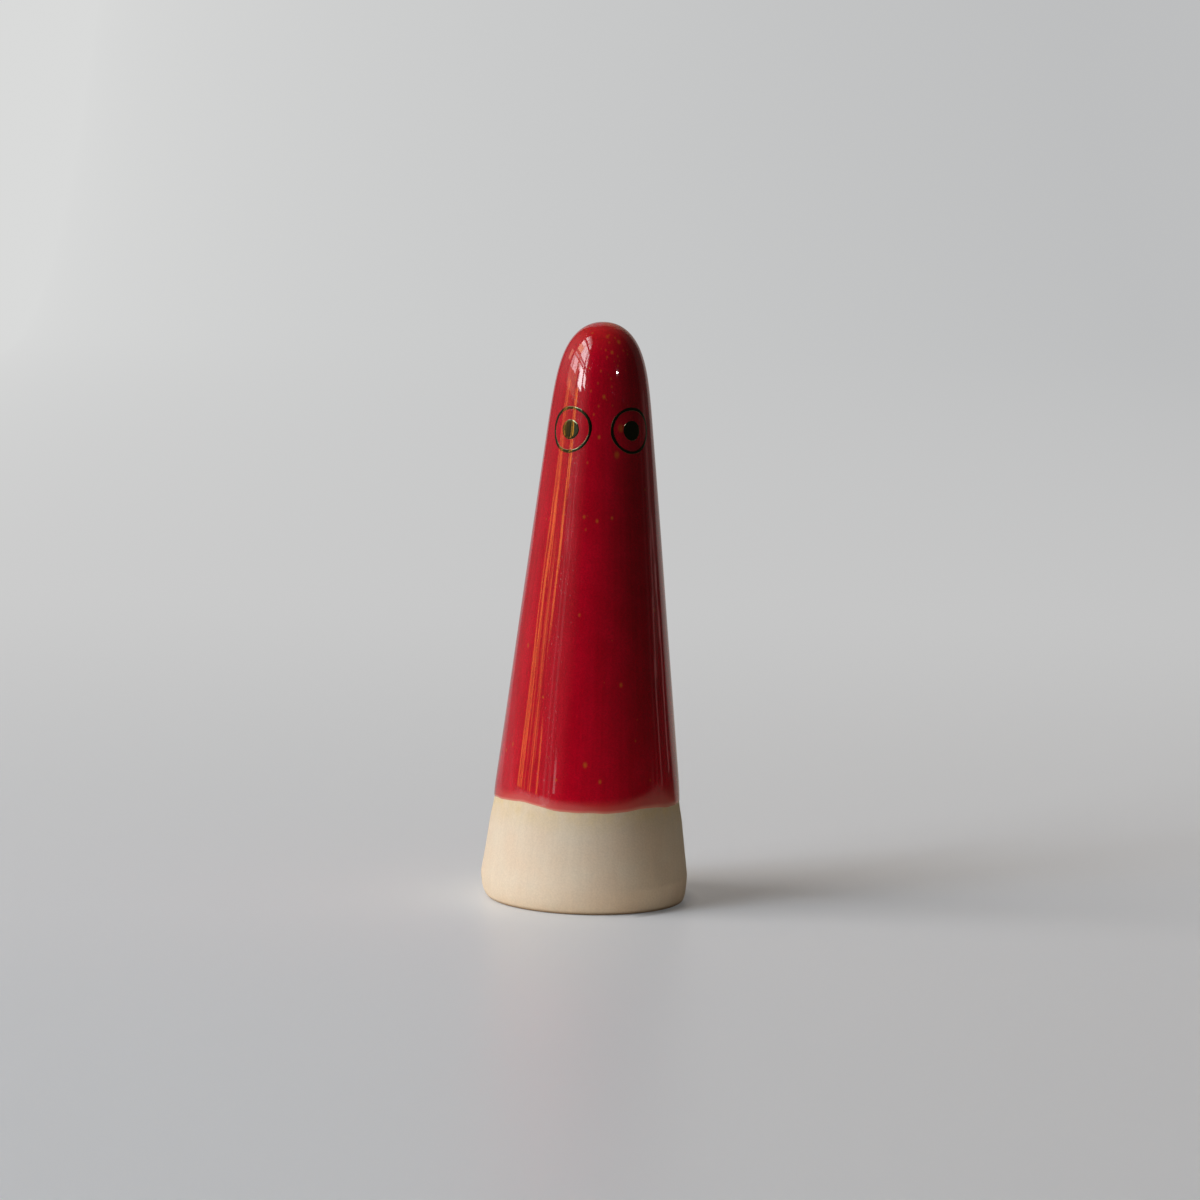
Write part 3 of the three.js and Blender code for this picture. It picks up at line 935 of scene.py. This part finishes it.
# The strips that the coat mirrors: azimuth at the bottom and at the top and width, in degrees, bottom and
# top in metres, and radiance. First the warm ones beside the window
WARM_STRIPS = (
    (-98.0, -97.0, 1.8, 0.0, 0.10, 3.6),
    (-97.0, -94.6, 1.8, 0.10, 0.15, 3.8),
    (-95.2, -95.8, 1.8, 0.15, 0.30, 3.4),
    (-94.6, -94.4, 1.4, 0.0, 0.08, 3.2),
    (-92.6, -92.6, 1.2, 0.125, 0.30, 2.4),
    (-91.8, -91.4, 1.8, 0.0, 0.09, 4.6),
    (-91.6, -88.6, 2.2, 0.09, 0.125, 4.6),
    (-88.6, -88.6, 1.4, 0.07, 0.10, 2.4),
    (-90.4, -90.6, 1.4, 0.125, 0.30, 4.0),
    (-87.4, -87.6, 2.4, 0.125, 0.164, 6.2),
    (-84.6, -84.6, 1.8, 0.115, 0.160, 3.8),
    (-85.0, -85.0, 8.0, 0.164, 0.186, 0.8),
    (-88.2, -88.8, 2.6, 0.186, 0.30, 4.2),
    (-84.2, -83.6, 2.0, 0.186, 0.30, 1.5),
    (-86.5, -86.5, 1.4, 0.0, 0.10, 2.0),
    (-80.4, -80.4, 1.4, 0.0, 0.13, 2.2),
    (-77.4, -77.8, 1.8, 0.0, 0.13, 3.4),
    (-74.6, -74.6, 1.2, 0.05, 0.115, 2.4),
    (-76.6, -76.6, 9.0, 0.13, 0.30, 0.25),
    (-67.2, -67.2, 2.0, 0.0, 0.075, 3.8),
    (-70.2, -69.0, 1.6, 0.108, 0.132, 4.2),
    (-69.0, -66.0, 2.2, 0.132, 0.165, 6.4),
    (-67.0, -67.6, 1.6, 0.165, 0.30, 4.6),
    (-62.6, -63.4, 2.4, 0.172, 0.30, 7.4),
)
# The pale ones of the room in front
PALE_STRIPS = (
    (-57.0, -57.0, 2.4, 0.0, 0.145, 0.28),
    (-50.0, -50.0, 2.6, 0.0, 0.145, 0.26),
    (-58.8, -58.8, 0.8, 0.148, 0.22, 0.75),
    (-56.4, -56.4, 0.5, 0.148, 0.23, 0.60),
    (-53.8, -53.8, 0.9, 0.148, 0.24, 0.80),
    (-51.4, -51.4, 0.4, 0.148, 0.24, 0.60),
    (-48.0, -48.0, 1.0, 0.148, 0.26, 1.05),
    (-45.0, -45.0, 0.4, 0.148, 0.24, 0.60),
    (-42.2, -42.2, 0.4, 0.148, 0.22, 0.45),
    (-38.6, -38.6, 0.4, 0.148, 0.22, 0.30),
    (-42.6, -42.6, 2.6, 0.060, 0.082, 1.5),
)
# The reddish ones behind on the right, which stand nearer
NEAR_STRIPS = (
    (95.0, 95.0, 3.0, 0.0, 0.12, 0.08),
    (104.0, 104.0, 2.6, 0.0, 0.042, 0.40),
    (106.5, 106.5, 2.6, 0.036, 0.056, 0.37),
    (109.0, 109.0, 2.6, 0.050, 0.070, 0.33),
    (112.0, 112.0, 2.6, 0.064, 0.12, 0.29),
    (123.5, 123.5, 3.5, 0.0, 0.042, 0.44),
    (121.0, 121.0, 3.2, 0.036, 0.056, 0.37),
    (119.0, 119.0, 3.5, 0.050, 0.070, 0.35),
    (116.0, 116.0, 3.5, 0.064, 0.12, 0.20),
)
STRIP_DISTANCE = 1.0
NEAR_STRIP_DISTANCE = 0.35
# The small lamp, far off on the right
LAMP_AZIMUTH = math.radians(39.0)
LAMP_ELEVATION = math.radians(20.0)
LAMP_DISTANCE = 1.6
LAMP_SIZE = (0.06, 0.025)
LAMP_LIGHT = 500.0


def make_window(scene):
    """Daylight through the panes of a window in the plane at the left."""
    studio = scene.ghost_studio
    away = studio.window_distance
    inwards = Vector((1.0, 0.0, 0.0))
    for panes, tint in ((PANES, studio.window_colour), (WARM_PANES, studio.warm_colour)):
        for start, end, low, high, share in panes:
            centre = Vector((-1.0, (start + end) / 2.0, (low + high) / 2.0)) * away
            size = (away * (end - start), away * (high - low))
            make_panel(scene, "window pane", centre, inwards, size, studio.window_light * share, tint)


def make_strip(scene, strip, distance, tint):
    """A narrow light that stands at a distance and leans where its two azimuths differ."""
    low_azimuth, high_azimuth, wide, bottom, top, radiance = strip
    out = towards(math.radians((low_azimuth + high_azimuth) / 2.0), 0.0)
    centre = out * distance + Vector((0.0, 0.0, (bottom + top) / 2.0))
    shift = distance * math.radians(high_azimuth - low_azimuth)
    rise = top - bottom
    size = (distance * math.radians(wide), math.hypot(shift, rise))
    return make_panel(scene, "strip", centre, -out, size, radiance, tint, -math.atan2(shift, rise))


def make_small_lamp(scene):
    """A lamp that glints beside the tip."""
    out = towards(LAMP_AZIMUTH, LAMP_ELEVATION)
    centre = out * LAMP_DISTANCE + Vector((0.0, 0.0, scene.ghost_shape.height))
    tint = scene.ghost_studio.window_colour
    return make_panel(scene, "small lamp", centre, -out, LAMP_SIZE, LAMP_LIGHT, tint)


def make_lights(scene):
    """The window, and the strips and the small lamp, which show in reflections only and leave out the
    floor."""
    studio = scene.ghost_studio
    make_window(scene)
    groups = (
        (WARM_STRIPS, STRIP_DISTANCE, studio.glow_colour),
        (PALE_STRIPS, STRIP_DISTANCE, studio.window_colour),
        (NEAR_STRIPS, NEAR_STRIP_DISTANCE, studio.ember_colour),
    )
    mirrored = [
        make_strip(scene, strip, distance, tint) for strips, distance, tint in groups for strip in strips
    ]
    mirrored.append(make_small_lamp(scene))
    all_but_floor = bpy.data.collections.new("all but the floor")
    all_but_floor.objects.link(bpy.data.objects["floor"])
    all_but_floor.collection_objects[0].light_linking.link_state = "EXCLUDE"
    for panel in mirrored:
        panel.visible_diffuse = False
        panel.light_linking.receiver_collection = all_but_floor


# The floor runs level from behind the camera to the bend, and then curves up into the backdrop
FLOOR_FRONT = -3.0
FLOOR_BEND = 1.3
BEND_RADIUS = 0.7
BEND_POINTS = 24
BACKDROP_TOP = 2.6
FLOOR_LEFT = -0.7
FLOOR_RIGHT = 1.3
FLOOR_COLUMNS = 8

# Where each mask on the floor starts and ends, in metres, and its values there where they aren't 0 and 1.
# Direct views see the floor turn into the backdrop's even colour behind the ghost and far off all round, a
# painted shade that darkens the paint towards the camera, and a painted contact shadow against the foot's
# right
BEHIND = (-0.15, 0.45)
ROUND_ABOUT = (0.35, 0.62)
SHADE_TOWARDS_CAMERA = (-0.24, -0.02, 0.91, 1.0)
CONTACT_SHADOW = (0.0195, 0.0230, 0.25, 1.0)
CONTACT_SHADOW_SIDE = (0.009, 0.017, 1.0, 0.0)
# The table top sends light back to the ghost only close by, as a small sheet would
NEAR = (0.045, 0.085, 1.0, 0.0)
# It throws up some of its own from just outside the foot, most of it in front and on the left
GLOW_START = (0.018, 0.030)
GLOW_IN_FRONT = (0.0, -0.03)
GLOW_LEFT = (0.03, -0.02)
GLOW = (0.0, 1.0, 0.05, 0.72)
# Reflections see the pale floor a little way all round and further in front, but less on the right, and
# something of the far floor on the window's side, where all of it is cooler
AROUND = (0.09, 0.14, 1.0, 0.0)
FURTHER = (0.35, 0.60, 1.0, 0.0)
IN_FRONT = (0.02, 0.12, 1.0, 0.0)
LESS_RIGHT = (0.01, 0.05, 1.0, 0.55)
FAR_LEFT = (-0.15, 0.0, 0.35, 0.0)
COOLER_LEFT = (0.05, -0.05)
# Behind the ghost the pale floor lies between two slants of X over Y, the left one measured from a start,
# and comes nearer on the left, up to an edge of X plus a share of Y
SLANT_START = 0.10
LEFT_SLANT = (-0.79, -0.655)
RIGHT_SLANT = (0.80, 1.15, 1.0, 0.0)
EDGE_SHARE = 0.333
EDGE = (-0.16, -0.10)
# The backdrop's colours change along X, by a power, and along Y. Reflections see it up to a height
BACKDROP_ACROSS = (-0.25, 0.30)
ACROSS_POWER = 0.6
BACKDROP_UP = (0.4, 1.4)
GLEAM_ACROSS = (-0.2, 0.2)
GLEAM_HEIGHT = (0.5, 0.9, 1.0, 0.0)
FLOOR_ROUGHNESS = 0.38
FLOOR_SHEEN = 0.45


def make_floor(scene):
    """Floor and backdrop in one sheet: a level, a quarter circle and an upright, carried along X."""
    turn = np.linspace(0.0, math.pi / 2, BEND_POINTS)
    bend_end = FLOOR_BEND + BEND_RADIUS
    along = np.concatenate([[FLOOR_FRONT], FLOOR_BEND + BEND_RADIUS * np.sin(turn), [bend_end]])
    high = np.concatenate([[0.0], BEND_RADIUS * (1.0 - np.cos(turn)), [BACKDROP_TOP]])
    across = np.linspace(FLOOR_LEFT, FLOOR_RIGHT, FLOOR_COLUMNS)
    y, x = np.meshgrid(along, across, indexing="ij")
    z = np.broadcast_to(high[:, None], y.shape)
    rows, columns = y.shape
    corner = (np.arange(rows - 1)[:, None] * columns + np.arange(columns - 1)).ravel()
    faces = np.stack([corner, corner + 1, corner + columns + 1, corner + columns], axis=-1)
    mesh = bpy.data.meshes.new("floor")
    mesh.from_pydata(np.stack([x, y, z], axis=-1).reshape(-1, 3).tolist(), [], faces.tolist())
    mesh.polygons.foreach_set("use_smooth", np.ones(len(mesh.polygons), dtype=bool))
    mesh.update()
    mesh.materials.append(FloorFinish(scene.ghost_studio).material)
    floor = bpy.data.objects.new("floor", mesh)
    scene.collection.objects.link(floor)


class FloorFinish(Finish):
    """Satin pale paint, which turns into an even backdrop with the distance. Only direct views and
    reflections see that colour, so it lights nothing."""

    def __init__(self, studio):
        super().__init__("pale floor")
        self.studio = studio
        place = self.place()
        rays = self.nodes.new("ShaderNodeLightPath").outputs
        self.x, self.y, self.z = (self.part(place, axis) for axis in "XYZ")
        self.away = self.far_off(place)
        self.direct = rays["Is Camera Ray"]
        self.diffuse = rays["Is Diffuse Ray"]
        self.mirrored = self.most(rays["Is Glossy Ray"], rays["Is Transmission Ray"])
        self.near = self.fade(self.away, *NEAR)
        self.behind = self.fade(self.y, *BEHIND)
        self.beyond = self.pale_beyond()
        self.paint(
            Base_Color=self.blend(self.direct, self.sent_back(), self.painted()),
            Roughness=FLOOR_ROUGHNESS,
            Specular_IOR_Level=FLOOR_SHEEN,
            Emission_Color=opaque(studio.bounce_colour),
            Emission_Strength=self.glow(),
        )
        even = self.add("ShaderNodeEmission", {"Color": self.backdrop()})
        inputs = {0: self.backdrop_share(), 1: self.shader.outputs[0], 2: even}
        mixed = self.add("ShaderNodeMixShader", inputs)
        self.plug(self.nodes["Material Output"].inputs["Surface"], mixed)

    def pale_beyond(self):
        """1 on the pale floor behind the ghost and 0 elsewhere."""
        from_start = self.maths("SUBTRACT", self.x, SLANT_START)
        left = self.fade(self.maths("DIVIDE", from_start, self.y), *LEFT_SLANT)
        edge = self.fade(self.maths("ADD", self.x, self.times(self.y, EDGE_SHARE)), *EDGE)
        right = self.fade(self.maths("DIVIDE", self.x, self.y), *RIGHT_SLANT)
        return self.times(self.most(left, edge), right, self.behind)

    def painted(self):
        """The paint as direct views see it, with a painted shade towards the camera and a painted contact
        shadow against the foot's right side.
        """
        # Painted shade: the paint grows darker towards the camera
        worn = self.dimmed(self.studio.floor_colour, self.between(self.y, *SHADE_TOWARDS_CAMERA))
        # Painted contact shadow against the foot's right side
        contact_shadow = self.most(self.fade(self.away, *CONTACT_SHADOW), self.between(self.x, *CONTACT_SHADOW_SIDE))
        return self.dimmed(worn, contact_shadow)

    def sent_back(self):
        """What the floor sends to the ghost: a pale sheet close by, and dark beyond it."""
        further = self.times(self.fade(self.away, *FURTHER), self.fade(self.y, *IN_FRONT))
        around = self.most(self.fade(self.away, *AROUND), further)
        around = self.times(around, self.fade(self.x, *LESS_RIGHT), self.mirrored)
        beside = self.times(self.between(self.x, *FAR_LEFT), self.mirrored)
        pale = self.most(self.near, around, self.beyond, beside)
        cool = self.times(self.between(self.x, *COOLER_LEFT), self.mirrored)
        sheet = self.blend(cool, self.studio.sheet_colour, self.studio.floor_colour)
        return self.blend(pale, self.studio.surround_colour, sheet)

    def glow(self):
        """How strongly the table top just before the ghost throws light up at it."""
        ahead = self.times(self.between(self.y, *GLOW_IN_FRONT), self.between(self.x, *GLOW_LEFT))
        strength = self.between(ahead, *GLOW)
        return self.times(self.near, self.diffuse, self.between(self.away, *GLOW_START), strength)

    def backdrop(self):
        """The backdrop's colour, which is dimmer in reflections."""
        studio = self.studio
        across = self.maths("POWER", self.between(self.x, *BACKDROP_ACROSS), ACROSS_POWER)
        low = self.blend(across, studio.backdrop_left, studio.backdrop_right)
        top = self.blend(across, studio.backdrop_top_left, studio.backdrop_top_right)
        whole = self.blend(self.between(self.y, *BACKDROP_UP), low, top)
        share = self.blend(self.between(self.x, *GLEAM_ACROSS), studio.gleam_left, studio.gleam_right)
        return self.blend(self.direct, self.blend(1.0, whole, share, "MULTIPLY"), whole)

    def backdrop_share(self):
        """How far the backdrop takes the paint's place: in direct views behind the ghost and far off, and
        in reflections on the pale floor behind it."""
        shown = self.times(self.direct, self.most(self.behind, self.fade(self.away, *ROUND_ABOUT)))
        gleam = self.times(self.mirrored, self.fade(self.z, *GLEAM_HEIGHT), self.beyond)
        return self.most(shown, gleam)


# The room's walls by the direction that they lie in: from where to where each shows, and how brightly. The
# window's wall grows brighter upwards by a factor
WINDOW_WALL = (-0.35, -0.90, 0.0, 0.17)
WALL_RISE = (0.03, 0.20, 1.0, 2.6)
BACK_WALL = (0.15, 0.95, 0.0, 0.30)
FAR_WALL = (0.25, 0.80, 0.01, 0.12)
# The back wall and the far one as reflections see them
MIRRORED_BACK = (0.20, 0.32, 0.0, 0.05)
MIRRORED_FAR = 0.03


def make_room(scene):
    """The rest of the room: pale in direct views, and otherwise dark in front, dim behind and on the far
    side, and with a wall on the window's side that grows brighter upwards."""
    studio = scene.ghost_studio
    world = bpy.data.worlds.new("room")
    world.use_nodes = True
    scene.world = world
    room = Nodes(world.node_tree)
    direction = room.add("ShaderNodeTexCoord", {}, "Generated")
    x, y, z = (room.part(direction, axis) for axis in "XYZ")
    rays = room.nodes.new("ShaderNodeLightPath").outputs
    glossy = rays["Is Glossy Ray"]
    window_wall = room.times(room.fade(x, *WINDOW_WALL), room.between(z, *WALL_RISE))
    back_wall = room.either(glossy, room.fade(y, *MIRRORED_BACK), room.fade(y, *BACK_WALL))
    far_wall = room.either(glossy, MIRRORED_FAR, room.fade(x, *FAR_WALL))
    dim = room.dimmed(studio.dim_colour, room.maths("ADD", window_wall, back_wall, far_wall))
    pale = room.blend(room.between(x, *BACKDROP_ACROSS), studio.backdrop_left, studio.backdrop_right)
    shown = room.blend(rays["Is Camera Ray"], dim, pale)
    room.plug(room.nodes["Background"].inputs["Color"], shown)


class GHOST_OT_clay_body(bpy.types.Operator):
    """Turn and fire the hollow clay body"""

    bl_idname = "ghost.clay_body"
    bl_label = "Clay Body"

    def execute(self, context):
        make_clay_body(context.scene)
        return {"FINISHED"}


class GHOST_OT_red_glaze(bpy.types.Operator):
    """Dip the body in red glaze, down to its wavy line"""

    bl_idname = "ghost.red_glaze"
    bl_label = "Red Glaze"

    def execute(self, context):
        make_red_glaze(context.scene)
        return {"FINISHED"}


class GHOST_OT_eyes(bpy.types.Operator):
    """Draw the rings and dots of both eyes in dark lustre"""

    bl_idname = "ghost.eyes"
    bl_label = "Eyes"

    def execute(self, context):
        make_eyes(context.scene)
        return {"FINISHED"}


class GHOST_OT_studio(bpy.types.Operator):
    """Set up the floor, the window light, the room and the camera"""

    bl_idname = "ghost.studio"
    bl_label = "Studio"

    def execute(self, context):
        make_floor(context.scene)
        make_lights(context.scene)
        make_room(context.scene)
        make_camera(context.scene)
        return {"FINISHED"}


class GHOST_PT_maker(bpy.types.Panel):
    """Lists the steps in the order in which they are made"""

    bl_label = "Ceramic Ghost"
    bl_space_type = "VIEW_3D"
    bl_region_type = "UI"
    bl_category = "Ghost"

    def draw(self, context):
        for step in STEPS:
            self.layout.operator(step.bl_idname)


SETTINGS = {
    "ghost_shape": GhostShape,
    "ghost_glaze": GhostGlaze,
    "ghost_eyes": GhostEyes,
    "ghost_finish": GhostFinish,
    "ghost_studio": GhostStudio,
}
STEPS = (GHOST_OT_clay_body, GHOST_OT_red_glaze, GHOST_OT_eyes, GHOST_OT_studio)
CLASSES = (*SETTINGS.values(), *STEPS, GHOST_PT_maker)


def register():
    """Registers the classes and gives each scene its settings."""
    for made in CLASSES:
        bpy.utils.register_class(made)
    for name, settings in SETTINGS.items():
        setattr(bpy.types.Scene, name, PointerProperty(type=settings))


def unregister():
    """Takes the settings and the classes out again."""
    for name in SETTINGS:
        delattr(bpy.types.Scene, name)
    for made in reversed(CLASSES):
        bpy.utils.unregister_class(made)


def main():
    """Makes the ghost and its studio step by step."""
    register()
    bpy.ops.ghost.clay_body()
    bpy.ops.ghost.red_glaze()
    bpy.ops.ghost.eyes()
    bpy.ops.ghost.studio()
    bpy.context.scene.view_settings.view_transform = "Standard"


if __name__ == "__main__":
    main()
